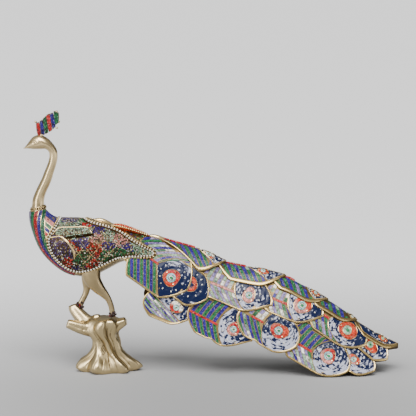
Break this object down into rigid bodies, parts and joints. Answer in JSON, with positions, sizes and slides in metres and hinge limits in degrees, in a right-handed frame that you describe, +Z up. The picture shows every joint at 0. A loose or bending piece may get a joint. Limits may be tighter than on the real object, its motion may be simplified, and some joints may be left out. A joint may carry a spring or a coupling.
{
  "type": "peacock figurine",
  "caption": "Stone-inlaid cast brass peacock on a tree stump, with a raised neck, a fan crest and a long train that reaches the ground.",
  "frame": {"origin": "centre of the overall box on the ground the stump and the train stand on", "axes": "+X from the beak towards the train's tip, +Y across to the far side, +Z up"},
  "size_m": [0.67, 0.1332, 0.4693],
  "materials": {
    "inlaid_brass": "antique brass casting set with polished stone",
    "satin_brass": "satin pale brass",
    "antique_brass": "antique brass, brown in the recesses",
    "red_stone": "polished coral-red stone",
    "blue_stone": "polished lapis-blue stone",
    "green_stone": "polished malachite-green stone"
  },
  "bodies": {
    "root": {"body": "inlaid_brass", "train": "inlaid_brass", "neck_and_head": "satin_brass", "tree_stump": "antique_brass", "crest_stone_1": "red_stone", "crest_stone_2": "blue_stone", "crest_stone_3": "green_stone", "crest_stone_4": "red_stone", "crest_stone_5": "blue_stone", "crest_stone_6": "green_stone"}
  },
  "joints": []
}
